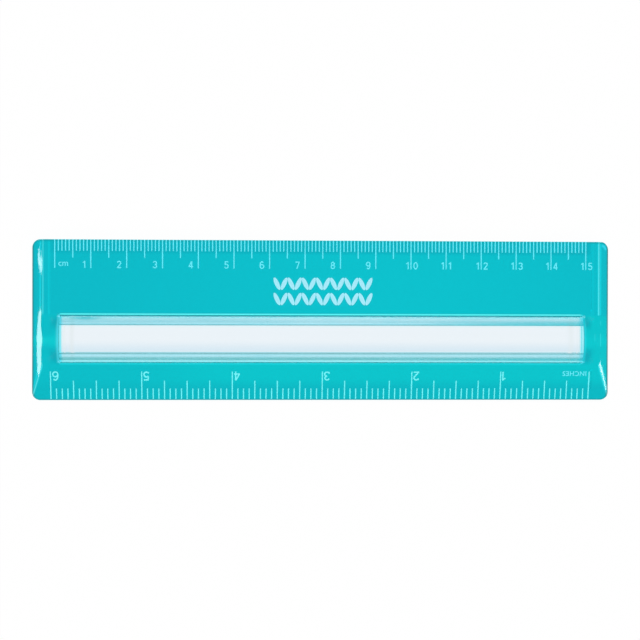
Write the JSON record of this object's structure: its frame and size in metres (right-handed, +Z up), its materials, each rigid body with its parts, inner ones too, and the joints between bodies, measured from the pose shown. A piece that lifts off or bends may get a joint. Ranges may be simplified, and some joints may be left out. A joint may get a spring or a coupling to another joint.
{
  "type": "magnifying ruler",
  "caption": "Tinted plastic ruler with a clear bar magnifier let into it along its length, and centimetre and inch scales printed along its two long edges.",
  "frame": {"origin": "centre of the footprint, on the plane the ruler stands on", "axes": "+X along the ruler, towards the high centimetre numbers; +Y across it, towards the centimetre edge; +Z up, out of the lens"},
  "size_m": [0.1634, 0.045, 0.0057],
  "materials": {
    "tinted_plastic": "polished translucent turquoise",
    "clear_plastic": "polished, water clear",
    "printed_ink": "pale screen-printed ink, satin"
  },
  "bodies": {
    "root": {"ruler_body": "tinted_plastic", "lens": "clear_plastic", "cm_graduations": "printed_ink", "cm_numeral_1": "printed_ink", "cm_numeral_10_ones": "printed_ink", "cm_numeral_10_tens": "printed_ink", "cm_numeral_11_ones": "printed_ink", "cm_numeral_11_tens": "printed_ink", "cm_numeral_12_ones": "printed_ink", "cm_numeral_12_tens": "printed_ink", "cm_numeral_13_ones": "printed_ink", "cm_numeral_13_tens": "printed_ink", "cm_numeral_14_ones": "printed_ink", "cm_numeral_14_tens": "printed_ink", "cm_numeral_15_ones": "printed_ink", "cm_numeral_15_tens": "printed_ink", "cm_numeral_2": "printed_ink", "cm_numeral_3": "printed_ink", "cm_numeral_4": "printed_ink", "cm_numeral_5": "printed_ink", "cm_numeral_6": "printed_ink", "cm_numeral_7": "printed_ink", "cm_numeral_8": "printed_ink", "cm_numeral_9": "printed_ink", "inch_graduations": "printed_ink", "inch_numeral_1": "printed_ink", "inch_numeral_2": "printed_ink", "inch_numeral_3": "printed_ink", "inch_numeral_4": "printed_ink", "inch_numeral_5": "printed_ink", "inch_numeral_6": "printed_ink"}
  },
  "joints": []
}
